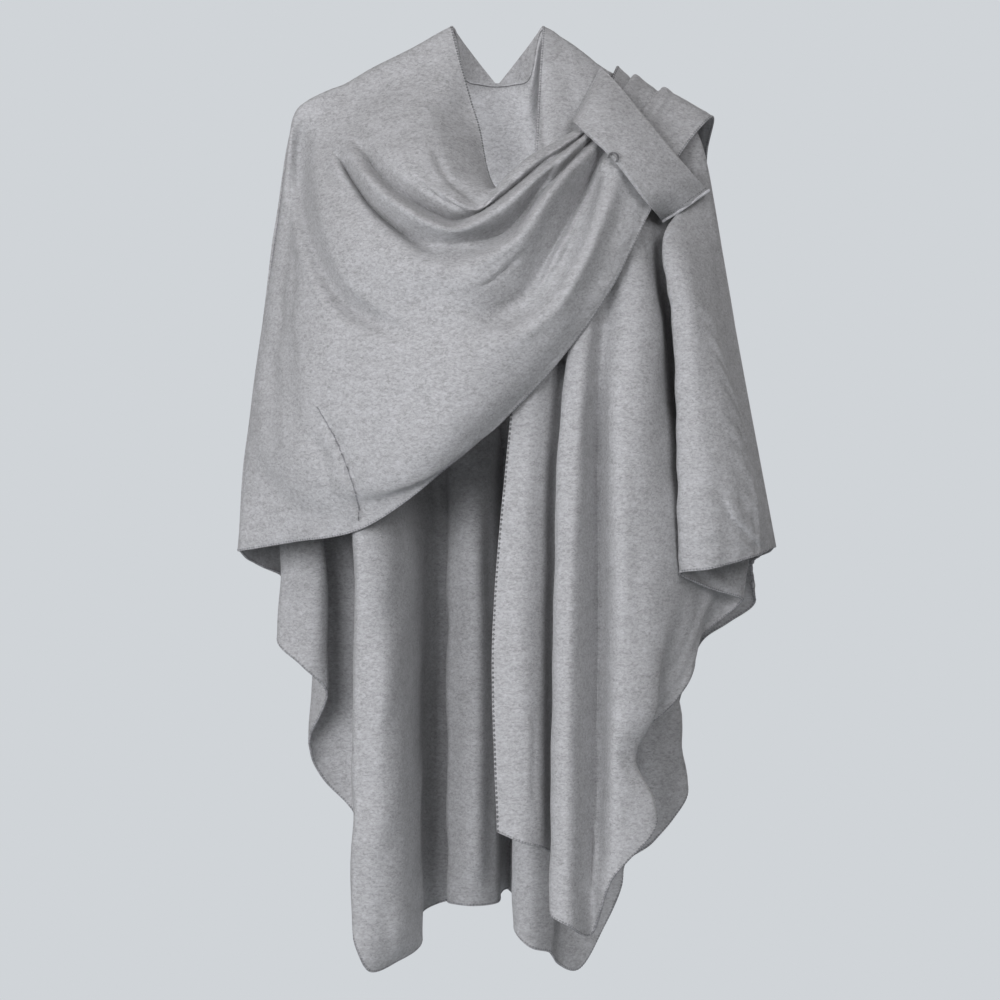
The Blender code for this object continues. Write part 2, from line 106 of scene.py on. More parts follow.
# share of each fold's way from the front edge to the side edge there; a pleat starts at each of TAIL_PLEATS
TAIL_SHARES = (0, 0.05, 0.11, 0.16, 0.185, 0.27, 0.36, 0.45, 0.475, 0.54, 0.61, 0.68, 0.76, 0.84, 0.92, 1)
TAIL_PLEATS = (0, 0.172, 0.462, 1)
TAIL_PLEAT_DEPTH = 7

# left front, a row for each fold from its front edge to its cuff:
# top on the shoulder and arm line (x, z), then (x, z, y) at collar, chest, ribs, waist, hip and hem
LEFT_FRONT_FOLDS = (
    ("front edge", (49, 77), (44, 0, -48), (39, -96, -82), (25, -220, -96),
     (14, -342, -102), (-5, -578, -108), (0, -783, -110)),
    ("flat", (59, 72), (59, 0, -47), (58, -96, -83), (46, -220, -98),
     (35, -342, -105), (25, -578, -113), (28, -795, -114)),
    ("under pleat", (67, 66), (71, -2, -44), (74, -96, -80), (61, -220, -90),
     (53, -342, -93), (46, -578, -96), (49, -800, -96)),
    ("pleat back", (75, 61), (80, -4, -41), (87, -97, -73), (77, -220, -70),
     (71, -332, -68), (66, -578, -66), (69, -813, -64)),
    ("pleat turn", (81, 57), (88, -7, -40), (94, -100, -72), (89, -220, -78),
     (85, -332, -80), (87, -578, -74), (88, -826, -72)),
    ("pleat ridge", (89, 51), (96, -12, -40), (102, -103, -76), (87, -212, -95),
     (70, -321, -107), (61, -578, -117), (57, -870, -117)),
    ("ridge face", (98, 44), (106, -17, -39), (111, -107, -77), (100, -222, -102),
     (88, -342, -118), (78, -578, -128), (75, -883, -127)),
    ("soft valley", (110, 34), (117, -24, -37), (122, -112, -74), (115, -226, -82),
     (108, -342, -88), (107, -578, -88), (100, -893, -94)),
    ("broad ridge", (126, 25), (131, -32, -34), (134, -118, -72), (134, -230, -96),
     (129, -342, -113), (132, -578, -120), (122, -835, -114)),
    ("broad side", (140, 16), (141, -40, -31), (142, -122, -69), (150, -232, -98),
     (148, -342, -112), (156, -578, -116), (169, -779, -106)),
    ("edge roll", (153, 9), (150, -47, -28), (150, -126, -66), (163, -234, -90),
     (163, -342, -102), (171, -578, -106), (171, -752, -98)),
    ("edge hollow", (164, 2), (157, -54, -25), (155, -131, -62), (172, -236, -76),
     (174, -342, -86), (185, -556, -90), (149, -703, -84)),
    ("under sleeve", (174, -4), (165, -61, -22), (162, -136, -57), (176, -238, -54),
     (185, -342, -62), (204, -524, -64), (192, -642, -66)),
    ("inner turn", (184, -10), (173, -68, -20), (169, -141, -42), (183, -240, -22),
     (196, -342, -20), (224, -494, -36), (211, -606, -50)),
    ("inner back", (193, -16), (182, -75, -18), (179, -146, -30), (200, -242, -4),
     (216, -342, 2), (247, -476, -14), (211, -581, -34)),
    ("back line", (200, -22), (189, -82, -17), (189, -150, -25), (218, -244, 0),
     (234, -342, 10), (264, -460, 4), (256, -542, -4)),
    ("back turn", (207, -29), (196, -89, -18), (195, -150, -27), (226, -244, -9),
     (242, -342, 2), (269, -452, -4), (262, -535, -12)),
    ("middle leg", (213, -37), (202, -96, -22), (195, -150, -46), (214, -240, -42),
     (222, -342, -38), (230, -445, -46), (226, -522, -50)),
    ("sleeve ridge", (218, -49), (207, -105, -30), (179, -148, -73), (188, -236, -82),
     (192, -321, -86), (194, -428, -88), (196, -506, -84)),
    ("sleeve face", (224, -73), (215, -120, -30), (200, -171, -76), (208, -246, -92),
     (212, -321, -98), (219, -417, -101), (226, -502, -96)),
    ("sleeve side", (233, -123), (229, -166, -30), (228, -225, -66), (235, -280, -78),
     (241, -332, -83), (249, -407, -86), (256, -494, -80)),
    ("outer side", (250, -225), (249, -262, -30), (252, -305, -48), (259, -335, -56),
     (264, -364, -61), (273, -417, -64), (279, -487, -57)),
    ("cuff", (297, -478), (296, -479, -10), (294, -479, -17), (292, -480, -21),
     (291, -480, -26), (289, -482, -32), (287, -483, -36)),
)
LEFT_FRONT_CELLS = 2          # between two folds
LEFT_FRONT_ALONG = (1, 2, 2, 2, 2, 3, 3)

# back, a row for each fold from the right cuff to the left cuff:
# top (x, z), then (x, y) at arm, waist and knee, then the hem (x, z, y)
BACK_FOLDS = (
    ("cuff right", (-276, -482), (-269, 30), (-263, 46), (-251, 58), (-232, -506, 70)),
    ("mouth", (-271, -396), (-260, 46), (-249, 62), (-234, 76), (-218, -518, 86)),
    ("turn 1", (-264, -342), (-251, 54), (-236, 72), (-217, 84), (-204, -535, 92)),
    ("fold 1 ridge", (-258, -294), (-243, 56), (-234, 60), (-231, 52), (-235, -578, 44)),
    ("fold 1 face", (-251, -246), (-228, 56), (-215, 54), (-209, 36), (-209, -605, 30)),
    ("fold 1 side", (-245, -198), (-215, 60), (-198, 58), (-184, 42), (-183, -633, 36)),
    ("turn 2", (-240, -155), (-211, 68), (-201, 78), (-194, 80), (-201, -690, 72)),
    ("hollow 1", (-234, -118), (-202, 72), (-189, 88), (-181, 96), (-188, -723, 86)),
    ("hollow 1 side", (-229, -83), (-195, 62), (-166, 80), (-149, 86), (-151, -764, 80)),
    ("tack leg", (-225, -56), (-196, 4), (-157, 8), (-142, 18), (-144, -808, 26)),
    ("tack", (-221, -37), (-195, -80), (-154, -82), (-153, -60), (-155, -888, -48)),
    ("tack side", (-218, -21), (-186, -80), (-146, -84), (-144, -65), (-149, -910, -52)),
    ("fold 2 face", (-212, -9), (-168, -6), (-123, -66), (-125, -58), (-137, -932, -46)),
    ("fold 2 right", (-200, -1), (-153, 60), (-102, -16), (-102, -24), (-106, -921, -16)),
    ("fold 2 roll", (-183, 7), (-129, 92), (-91, 36), (-87, 22), (-82, -903, 22)),
    ("hollow 2 left", (-164, 15), (-106, 100), (-78, 68), (-78, 72), (-81, -869, 74)),
    ("hollow 2", (-142, 27), (-85, 104), (-67, 80), (-61, 92), (-63, -859, 92)),
    ("hollow 2 right", (-119, 39), (-67, 105), (-55, 74), (-45, 76), (-44, -855, 80)),
    ("fold 3 ridge", (-100, 49), (-55, 105), (-50, 50), (-52, 34), (-51, -859, 34)),
    ("fold 3 face", (-80, 60), (-42, 105), (-29, 40), (-29, 20), (-27, -862, 20)),
    ("fold 3 side", (-63, 68), (-29, 106), (-11, 54), (-5, 34), (-1, -859, 36)),
    ("hollow 3 left", (-49, 75), (-17, 108), (0, 90), (3, 84), (3, -849, 82)),
    ("hollow 3", (-35, 21), (-6, 110), (7, 106), (12, 108), (12, -844, 106)),
    ("hollow 3 right", (-18, 15), (4, 110), (16, 94), (25, 84), (25, -861, 80)),
    ("fold 4 ridge", (0, 13), (15, 110), (18, 70), (17, 18), (19, -890, 6)),
    ("fold 4 face", (18, 15), (27, 109), (35, 62), (37, 4), (37, -907, -8)),
    ("fold 4 side", (35, 21), (42, 107), (55, 68), (59, 14), (57, -912, 6)),
    ("corner fold", (50, 75), (59, 105), (70, 80), (74, 40), (65, -924, 22)),
    ("corner", (65, 67), (78, 102), (91, 84), (97, 60), (86, -930, 44)),
    ("side 5 a", (82, 56), (97, 98), (112, 80), (119, 66), (113, -886, 62)),
    ("side 5 b", (102, 41), (117, 92), (132, 74), (136, 60), (132, -842, 66)),
    ("hollow 5", (123, 27), (134, 86), (147, 72), (147, 66), (136, -817, 70)),
    ("fold 6 ridge", (144, 14), (151, 78), (159, 60), (156, 44), (166, -794, 46)),
    ("fold 6 face", (163, 4), (166, 70), (174, 52), (179, 52), (188, -768, 54)),
    ("fold 6 side", (180, -6), (183, 62), (192, 52), (185, 60), (203, -740, 64)),
    ("turn 6", (195, -16), (198, 58), (200, 66), (179, 86), (187, -685, 90)),
    ("hollow 7", (209, -29), (213, 56), (219, 74), (200, 92), (204, -610, 94)),
    ("fold 7 left", (220, -54), (230, 54), (236, 74), (224, 86), (219, -578, 88)),
    ("fold 7 face", (231, -112), (245, 52), (253, 66), (249, 76), (247, -559, 82)),
    ("fold 7 side", (247, -203), (259, 50), (264, 60), (264, 68), (275, -538, 72)),
    ("fold 7 ridge", (265, -310), (271, 44), (271, 50), (269, 58), (273, -517, 66)),
    ("cuff left", (297, -478), (291, 24), (286, 34), (278, 44), (271, -494, 54)),
)
BACK_CELLS = 2                # between two folds
BACK_ALONG = (1, 1, 2, 3, 2, 3, 3)
LEVELS = (0.34, 0.48, 0.73)   # arm, waist and knee, as shares of a fold's drop
YOKE_LEVELS = (0.1, 0.35)     # stations that round the back over the shoulder blade, as shares to the arm
BLADE_DROP = 120              # height of that rounding
BEHIND_ARM = 54               # least depth of the back behind an arm

# depth of the back's neck seam at each fold that it cuts off, and the piece that fills its V
NECK_DEPTH = {"hollow 3 left": 4, "hollow 3": 30, "hollow 3 right": 50, "fold 4 ridge": 58,
              "fold 4 face": 50, "fold 4 side": 30, "corner fold": 4}
NECK_LIP_OUT = 2              # how far the back runs out over its level lip
NECK_HALF = 47                # half the width of the V
NECK_V_LOW = 21
NECK_V_HIGH = 76
NECK_GAP = 1.5                # between the two pieces' middle surfaces
NECK_LEAST = 3                # least height of the piece, at its two ends

# strap, a row for each section from its neck end to its arm end: (x, z, y) at lower edge, middle
# and upper edge
STRAP = (
    ((82, -23, -60), (97, 5, -44), (111, 33, -14)),
    ((88, -29, -92), (104, 0, -70), (120, 25, -38)),
    ((124, -62, -108), (146, -46, -90), (168, -32, -66)),
    ((158, -106, -102), (180, -88, -82), (203, -74, -57)),
    ((176, -128, -92), (202, -113, -66), (225, -97, -38)),
)
STRAP_CELLS = 3               # between two sections, and between its edges and its middle
STRAP_NECK_END = 12           # from the left front's middle surface to the strap's at its neck end
STRAP_ARM_END = 13            # the same at its arm end
NEAREST = 4                   # points that a place on a panel is worked out from

# thread loop on the strap's lower edge
LOOP_PLACE = 0.5              # share of that edge
LOOP_RADIUS = 5
LOOP_THREAD = 1               # radius of the thread
LOOP_OUT = 3.9                # in front of the strap's middle surface
LOOP_START = -60              # degrees
LOOP_SWEEP = 250
LOOP_POINTS = 12


def seen(x, z, y):
    """The point at depth y that covers (x, z) of the shoulder plane, seen from EYE."""
    reach = 1 - y / EYE[1]
    return (EYE[0] + (x - EYE[0]) * reach, y, EYE[2] + (z - EYE[2]) * reach)


def through(points, steps):
    """A smooth run through points along their first axis, with steps[i] cells in span i.

    It is a centripetal Catmull-Rom curve, which makes no loops where spans differ in length.
    """
    points = np.asarray(points, float)
    ends = (2 * points[0] - points[1], 2 * points[-1] - points[-2])
    held = np.concatenate((ends[0][None], points, ends[1][None]))
    spans = np.diff(held, axis=0)
    knots = np.sqrt(np.maximum(np.linalg.norm(spans, axis=-1, keepdims=True), 1e-3))
    run = []
    for i, cells in enumerate(steps):
        before, here, after = knots[i], knots[i + 1], knots[i + 2]
        step = spans[i + 1]
        leave = here * (spans[i] / before - (spans[i] + step) / (before + here)) + step
        arrive = here * (spans[i + 2] / after - (spans[i + 2] + step) / (after + here)) + step
        for k in range(cells):
            t = k / cells
            run.append(points[i] * (2 * t**3 - 3 * t**2 + 1) + leave * (t**3 - 2 * t**2 + t)
                       + points[i + 1] * (3 * t**2 - 2 * t**3) + arrive * (t**3 - t**2))
    run.append(points[-1])
    return np.array(run)


def loft(rows, across, along):
    """Grid of points from rows of stations: along[i] cells between stations, across[i] between rows."""
    down = through(np.swapaxes(np.asarray(rows, float), 0, 1), along)
    return through(np.swapaxes(down, 0, 1), across)


def over_the_seam(top, side):
    """The first two stations of a fold: the seam itself and the level lip beside it.

    side is -1 for a front and 1 for the back.
    """
    x, z = top
    return [(x, side * SEAM_GAP / 2, z), (x, side * LIP, z - LIP_FALL)]


# ---- pieces as grids of points ----

def left_front_grid(across, along):
    rows = []
    for _, top, *stations in LEFT_FRONT_FOLDS:
        rows.append(over_the_seam(top, -1) + [seen(*s) for s in stations])
    return loft(rows, across, along)


def tail_stations(share):
    """Where a fold of the right front runs beyond the strap: over the shoulder and down the back.

    Its knife pleats each start high, on top of the one before, and fall evenly to the next.
    """
    start, end = next(pair for pair in zip(TAIL_PLEATS, TAIL_PLEATS[1:]) if share <= pair[1])
    rise = TAIL_PLEAT_DEPTH * (0.5 - (share - start) / (end - start))
    stations = []
    for near, far, out in TAIL_LINES:
        point = Vector(near).lerp(Vector(far), share)
        stations.append(tuple(point + Vector(out) * rise))
    return stations


def right_front_grid(across, along):
    rows = []
    for (_, top, *stations), share in zip(RIGHT_FRONT_FOLDS, TAIL_SHARES):
        rows.append(over_the_seam(top, -1) + [seen(*s) for s in stations] + tail_stations(share))
    return loft(rows, across, along)


def shoulder_round(start, end):
    """Stations between the seam and the arm level, where the back rounds over the shoulder blade."""
    start, end = Vector(start), Vector(end)
    stations = []
    for share in YOKE_LEVELS:
        point = start.lerp(end, share)
        drop = min((start.z - point.z) / BLADE_DROP, 1)
        behind = max(end.y, BEHIND_ARM)
        point.y = start.y + (behind - start.y) * math.sqrt(1 - (1 - drop) ** 2)
        stations.append(tuple(point))
    return stations


def in_front(grid, x, z, out):
    """The place out in front of a panel's middle surface where it covers (x, z), seen from EYE."""
    flat = grid.reshape(-1, 3)
    reach = 1 - flat[:, 1] / EYE[1]
    away = np.hypot(EYE[0] + (flat[:, 0] - EYE[0]) / reach - x, EYE[2] + (flat[:, 2] - EYE[2]) / reach - z)
    near = np.argsort(away)[:NEAREST]
    weight = 1 / (away[near] + 1)
    return seen(x, z, (flat[near, 1] * weight).sum() / weight.sum() - out)


def back_grid(across, along):
    rows = []
    for name, top, arm, waist, knee, hem in BACK_FOLDS:
        x, z = top
        if name in NECK_DEPTH:
            depth = NECK_DEPTH[name]
            stations = [seen(x, z, depth), seen(x, z - LIP, depth + NECK_LIP_OUT)]
        else:
            stations = over_the_seam(top, 1)
        end = seen(*hem)
        drop = end[2] - z
        for share, (px, py) in zip(LEVELS, (arm, waist, knee)):
            x_here, y_here, _ = seen(px, z + drop * share, py)
            stations.append((x_here, y_here, z + drop * share))
        stations.append(end)
        rows.append(stations[:2] + shoulder_round(stations[1], stations[2]) + stations[2:])
    return loft(rows, across, along)


def neck_band_grid(seam, along):
    """From the back's own neck seam up to the two straight lines that meet in a V."""
    rows = []
    for i, point in enumerate(seam):
        run = Vector(seam[min(i + 1, len(seam) - 1)] - seam[max(i - 1, 0)]).normalized()
        up = Vector((0, 0, 1)) - run * run.z
        low = Vector(point) + up.normalized() * NECK_GAP
        top = NECK_V_LOW + (NECK_V_HIGH - NECK_V_LOW) * min(abs(low.x) / NECK_HALF, 1)
        high = Vector((low.x, low.y, max(top, low.z + NECK_LEAST)))
        rows.append([tuple(low), tuple((low + high) / 2), tuple(high)])
    return loft(rows, spans(len(rows) - 1, 1), along)


def strap_grid(left_front, across, along):
    """The strap's middle surface: its two ends lie on the left front, and it clears the folds between."""
    rows = [[seen(*station) for station in row] for row in STRAP]
    for end, out in ((0, STRAP_NECK_END), (-1, STRAP_ARM_END)):
        rows[end] = [in_front(left_front, x, z, out) for x, z, _ in STRAP[end]]
    return loft(rows, across, along)


# ---- finishes ----

FLECK = (4.2, 3.6, 2.3)       # tufts of light and dark fibre: width, depth and height
CLOUD = (22, 22, 9)           # paler and darker patches, the same three ways
CLOUD_SHARE = 0.18            # of the patches in the colour; the rest is tufts
DARKEST = 0.36                # level of the tufts and patches that is darkest, and the one that is palest
PALEST = 0.64
RIB = (2, 3)                  # unit of the rib pattern, across and along; its wales are 0.63 of it apart
NAP_SHARE = 0.6               # of the tufts in the relief; the rest is wales
NAP_HIGH = 0.5


def linear(hex_colour):
    """An sRGB hex value as a linear colour with alpha."""
    parts = [int(hex_colour[i:i + 2], 16) / 255 for i in (1, 3, 5)]
    return (*(p / 12.92 if p <= 0.04045 else ((p + 0.055) / 1.055) ** 2.4 for p in parts), 1)


def add(tree, kind, settings=None, **links):
    """Add a node: settings are its own values or its sockets' values, links feed its sockets."""
    node = tree.nodes.new(kind)
    for key, value in (settings or {}).items():
        if key in node.inputs:
            node.inputs[key].default_value = value
        else:
            setattr(node, key, value)
    for key, source in links.items():
        slot = int(key[1:]) if key[0] == "i" and key[1:].isdigit() else key.replace("_", " ")
        tree.links.new(source, node.inputs[slot])
    return node


def unit(sizes):
    """The scale at which a pattern's unit has these sizes."""
    return [1 / (size * MM) for size in sizes]


def brushed_knit(name, light, mid, dark):
    """Brushed double knit: mixed light and dark fibres, a short nap and fine wales under it."""
    knit = bpy.data.materials.new(name)
    knit.use_nodes = True
    tree = knit.node_tree
    shader = tree.nodes["Principled BSDF"]
    cut = add(tree, "ShaderNodeUVMap", {"uv_map": "cut"}).outputs[0]
    worn = add(tree, "ShaderNodeTexCoord").outputs["Object"]
    # flecks: brushed tufts of light and dark fibre that mottle the cloth, in soft paler and darker patches
    tufts = add(tree, "ShaderNodeMapping", {"Scale": unit(FLECK)}, Vector=worn)
    fleck = add(tree, "ShaderNodeTexNoise",
                {"Scale": 1.0, "Detail": 4.0, "Roughness": 0.7, "Distortion": 0.8}, Vector=tufts.outputs[0])
    patches = add(tree, "ShaderNodeMapping", {"Scale": unit(CLOUD)}, Vector=worn)
    cloud = add(tree, "ShaderNodeTexNoise",
                {"Scale": 1.0, "Detail": 2.0, "Roughness": 0.5}, Vector=patches.outputs[0])
    both = add(tree, "ShaderNodeMix", {"Factor": CLOUD_SHARE}, i2=fleck.outputs[0], i3=cloud.outputs[0])
    tint = add(tree, "ShaderNodeValToRGB", Fac=both.outputs[0])
    ramp = tint.color_ramp
    ramp.elements[0].position = DARKEST
    ramp.elements[0].color = linear(dark)
    ramp.elements[1].position = PALEST
    ramp.elements[1].color = linear(light)
    ramp.elements.new((DARKEST + PALEST) / 2).color = linear(mid)
    tree.links.new(tint.outputs[0], shader.inputs["Base Color"])
    # wales: 1.3 mm apart, drawn about twice as coarse as a fine double knit's so that they show
    ribs = add(tree, "ShaderNodeMapping", {"Scale": (*unit(RIB), 1)}, Vector=cut)
    wale = add(tree, "ShaderNodeTexWave", {"wave_type": "BANDS", "bands_direction": "X", "Scale": 0.5,
                                           "Distortion": 1.5, "Detail": 2.0}, Vector=ribs.outputs[0])
    nap = add(tree, "ShaderNodeMix", {"Factor": NAP_SHARE}, i2=wale.outputs[1], i3=fleck.outputs[0])
    bump = add(tree, "ShaderNodeBump", {"Strength": 0.35, "Distance": NAP_HIGH * MM}, Height=nap.outputs[0])
    tree.links.new(bump.outputs[0], shader.inputs["Normal"])
    shader.inputs["Roughness"].default_value = 0.92
    shader.inputs["Specular IOR Level"].default_value = 0.2
    shader.inputs["Sheen Weight"].default_value = 0.15
    shader.inputs["Sheen Roughness"].default_value = 0.5
    return knit


KNIT = brushed_knit("heather grey brushed double knit", "#b5b5b7", "#a3a3a4", "#8d8d8d")
EDGE = brushed_knit("overlocked knit edge", "#9c9c9e", "#828284", "#68686a")
# the strap's turned edge: the same knit painted lighter, a painted highlight on its rounded edge
HIGHLIT_TURNED_EDGE = brushed_knit("turned knit edge with painted highlight", "#bcbdbf", "#acadaf", "#949496")
# dark thread for the stitches and the loop; the neck edge and the neck seam also take it as a painted
# shadow line
DARK_THREAD_AND_SHADOW_LINE = brushed_knit("dark grey sewing thread and painted shadow line", "#7c7c7e", "#686869", "#545455")


# ---- creases ----
# rows of a name, kind, depth, half width, shares of its length over which it fades in and out, then its
# line (x, z) as it shows from the front.  A trough is a round hollow.  A lip stands out above its line and
# is hollow below it, and a shelf is the other way round.  A ridge rises slowly to its line and drops
# quickly beyond it.  Above is the left of the way that the line runs, seen from the front.
RIGHT_FRONT_CREASES = (
    ("roll A", "lip", 3.2, 10, 0.45, 0.15,
     ((-125, -54), (-107, -67), (-86, -83), (-61, -100), (-42, -110), (-26, -117), (-10, -110), (6, -98),
      (42, -67), (70, -48), (95, -30))),
    ("fold B", "shelf", 7.5, 22, 0.10, 0.15,
     ((-163, -44), (-146, -62), (-137, -77), (-126, -90), (-110, -104), (-89, -117), (-65, -128),
      (-43, -135), (-18, -125), (3, -111), (28, -91), (46, -73), (70, -52), (97, -31))),
    ("valley B", "trough", 9.0, 10, 0.12, 0.30,
     ((-150, -54), (-132, -77), (-121, -90), (-106, -103), (-87, -114), (-65, -125), (-44, -131),
      (-24, -124), (0, -111))),
    ("under B", "trough", 5.0, 16, 0.30, 0.30,
     ((-77, -140), (-56, -146), (-31, -150), (-7, -149), (12, -141), (29, -125), (46, -105))),
    ("fold C", "shelf", 6.5, 26, 0.35, 0.15,
     ((-61, -150), (-29, -157), (-7, -156), (12, -147), (32, -125), (54, -92), (75, -62), (102, -36))),
    ("fold C left", "shelf", 8.0, 20, 0.20, 0.30,
     ((-183, -49), (-172, -68), (-164, -83), (-155, -96), (-146, -110), (-135, -123), (-121, -136),
      (-105, -149), (-86, -162), (-57, -171))),
    ("valley C", "trough", 7.5, 10, 0.20, 0.25,
     ((-173, -54), (-163, -73), (-153, -90), (-142, -107), (-127, -123), (-111, -137), (-91, -150),
      (-56, -166))),
    ("under C", "lip", 2.6, 10, 0.45, 0.45,
     ((-42, -203), (-27, -199), (-7, -189), (11, -173), (25, -160), (37, -144))),
    ("valley D", "trough", 17.0, 25, 0.30, 0.16,
     ((-37, -242), (-7, -240), (22, -228), (47, -209), (63, -186), (76, -162), (88, -136), (97, -110),
      (107, -87), (116, -62))),
    ("deep of D", "trough", 6.0, 11, 0.30, 0.20,
     ((-16, -239), (14, -229), (39, -212), (56, -190), (71, -166), (83, -139), (93, -113), (103, -88),
      (112, -61))),
    ("fold D", "shelf", 4.0, 24, 0.25, 0.12,
     ((-42, -253), (-12, -250), (18, -243), (44, -229), (64, -210), (77, -189), (91, -164), (102, -136),
      (110, -108), (118, -83), (123, -64))),
    ("middle D", "trough", 4.5, 17, 0.25, 0.40,
     ((138, -83), (132, -119), (120, -151), (106, -182), (89, -216), (65, -250))),
    ("arm hollow", "trough", 18.0, 18, 0.12, 0.28,
     ((-209, -19), (-208, -58), (-207, -109), (-200, -143), (-190, -171), (-178, -197), (-165, -214),
      (-144, -230), (-114, -245), (-79, -258))),
    ("neck edge roll", "trough", 20.0, 42, 0.35, 0.30,
     ((-54, 30), (-39, -9), (-22, -46), (-11, -81), (-4, -106))),
    ("neck facing", "shelf", 2.6, 14, 0.50, 0.20,
     ((-78, -30), (-73, -54), (-65, -77), (-51, -95), (-29, -110))),
    ("middle ripple", "trough", 2.5, 22, 0.45, 0.45, ((-109, -180), (-72, -203), (-29, -219), (14, -210))),
    ("press line", "trough", 2.2, 5, 0.30, 0.45, ((-193, -279), (-160, -280), (-114, -277), (-90, -274))),
    ("tack seam", "shelf", 3.5, 14, 0.25, 0.02,
     ((-192, -336), (-181, -355), (-169, -381), (-157, -415), (-149, -449))),
    ("tack fold", "trough", 4.0, 9, 0.40, 0.30, ((-198, -353), (-187, -381), (-180, -409), (-179, -433))),
    ("arm ripple 1", "trough", 2.2, 16, 0.50, 0.40, ((-215, -246), (-214, -310), (-216, -370))),
    ("arm ripple 2", "trough", 2.0, 14, 0.40, 0.40, ((-241, -321), (-239, -385), (-235, -439))),
)
LEFT_FRONT_CREASES = (
    ("soft valley", "trough", 12.0, 18, 0.22, 0.10,
     ((106, -246), (107, -321), (107, -396), (108, -492), (109, -599), (110, -706), (110, -840))),
    ("fold side", "trough", 7.0, 9, 0.20, 0.15,
     ((59, -316), (58, -428), (57, -535), (56, -642), (55, -749), (55, -840))),
    ("collar side", "trough", 5.0, 9, 0.25, 0.40, ((47, 41), (48, 0), (50, -40), (55, -80))),
    ("under strap", "trough", 4.0, 9, 0.20, 0.50, ((143, -86), (141, -120), (137, -160), (134, -214))),
    ("hem press", "lip", 1.4, 8, 0.30, 0.30, ((36, -770), (34, -738), (35, -696), (36, -642))),
    ("low ripple 2", "lip", 3.0, 10, 0.50, 0.20, ((100, -738), (105, -790), (104, -850))),
    ("body ripple", "trough", 2.5, 20, 0.50, 0.50, ((150, -330), (152, -449), (148, -580), (140, -679))),
    ("cuff fold", "lip", 3.2, 14, 0.50, 0.10, ((236, -404), (256, -446), (284, -478))),
    ("sleeve ripple", "trough", 2.4, 18, 0.50, 0.50, ((212, -180), (221, -270), (226, -370))),
)
BACK_CREASES = (
    ("fold 2 face", "ridge", 19.0, 46, 0.10, 0.30,
     ((-100, -929), (-102, -835), (-104, -728), (-105, -621), (-107, -535))),
    ("fold 1 face", "ridge", 6.0, 30, 0.20, 0.30, ((-192, -631), (-192, -578), (-190, -514), (-189, -449))),
    ("fold 3 side", "ridge", 14.0, 34, 0.10, 0.25,
     ((-21, -854), (-20, -770), (-19, -685), (-19, -599), (-20, -514), (-21, -396))),
    ("hem ripple 1", "trough", 2.5, 12, 0.10, 0.60, ((-117, -926), (-119, -888), (-117, -845))),
)


CREASE_CELLS = 6              # between two points of a crease's line
LIP_DROP = 0.3                # share of the half width in which a lip drops into its hollow
RIDGE_DROP = 0.4              # share in which a ridge drops to level cloth
SMALL = 1e-9                  # least length that a direction is taken from


def spans(count, cells):
    """The same number of cells in each of count spans."""
    return [cells] * count


def finer(cells, times):
    """The cells of each span, so many times over."""
    return [c * times for c in cells]


def directions(vectors):
    """The vectors, each made 1 long."""
    return vectors / np.maximum(np.linalg.norm(vectors, axis=-1, keepdims=True), SMALL)


def lengths(line):
    """How far along the line each of its points is."""
    return np.concatenate(([0], np.linalg.norm(np.diff(line, axis=0), axis=1).cumsum()))


def at_lengths(line, length, places):
    """The points that are so far along the line, whose own points are at length."""
    return np.stack([np.interp(places, length, line[:, k]) for k in range(3)], axis=-1)


def as_seen(grid):
    """Where each point of a panel shows on the plane of the shoulders: (x, z)."""
    share = EYE[1] / (EYE[1] - grid[..., 1:2])
    return np.array((EYE[0], EYE[2])) + (grid[..., [0, 2]] - np.array((EYE[0], EYE[2]))) * share


def eased(t):
    """A soft rise from 0 to 1, while t goes from 0 to 1."""
    t = np.clip(t, 0, 1)
    return t * t * (3 - 2 * t)


def trough(s):
    """A round hollow, 1 deep at its line and level at one half width from it."""
    return -eased(1 - abs(s))


def lip(s):
    """A ridge above its line that drops below it into a hollow."""
    rise = eased(1 + s)
    drop = 1 - 2 * eased(s / LIP_DROP)
    hollow = eased((s - LIP_DROP) / (1 - LIP_DROP)) - 1
    return np.where(s < 0, rise, np.where(s < LIP_DROP, drop, hollow))


def shelf(s):
    """A hollow above its line that rises below it into a ridge."""
    return lip(-s)


def ridge(s):
    """A slow rise to the line and a quick drop beyond it."""
    return np.where(s < 0, eased(1 + s), eased(1 - s / RIDGE_DROP))


SHAPES = {"trough": trough, "lip": lip, "shelf": shelf, "ridge": ridge}


def creased(grid, rows, keep):
    """The panel with its creases pressed in along the line of sight, where keep is 1."""
    shown = as_seen(grid).reshape(-1, 2)
    moved = np.zeros(len(shown))
    for _, kind, depth, half, fade_in, fade_out, line in rows:
        run = through(line, spans(len(line) - 1, CREASE_CELLS))
        start, step = run[:-1], np.diff(run, axis=0)
        length = np.linalg.norm(step, axis=1)
        along = np.concatenate(([0], length.cumsum()))
        to = shown[:, None] - start[None]
        t = np.clip((to * step).sum(axis=2) / length**2, 0, 1)
        away = to - t[..., None] * step
        gap = np.linalg.norm(away, axis=2)
        nearest = gap.argmin(axis=1)
        pick = np.arange(len(shown)), nearest
        side = np.sign(step[nearest, 0] * away[pick][:, 1] - step[nearest, 1] * away[pick][:, 0])
        share = (along[nearest] + t[pick] * length[nearest]) / along[-1]
        strength = eased(share / fade_in) * eased((1 - share) / fade_out)
        s = -side * gap[pick] / half
        moved += depth * strength * np.where(abs(s) < 1, SHAPES[kind](s), 0)
    sight = directions(grid - np.array(EYE, float))
    return grid - sight * (moved.reshape(grid.shape[:2]) * keep)[..., None]


# the wave in the left front's hem, where its side edge turns in
WAVE_HEIGHT = -697
WAVE_TALL = 34                # height over which it dies away
WAVE_FROM = 108               # where across the panel it begins
WAVE_WIDE = 62                # from there to its full depth
WAVE_DEEP = 24


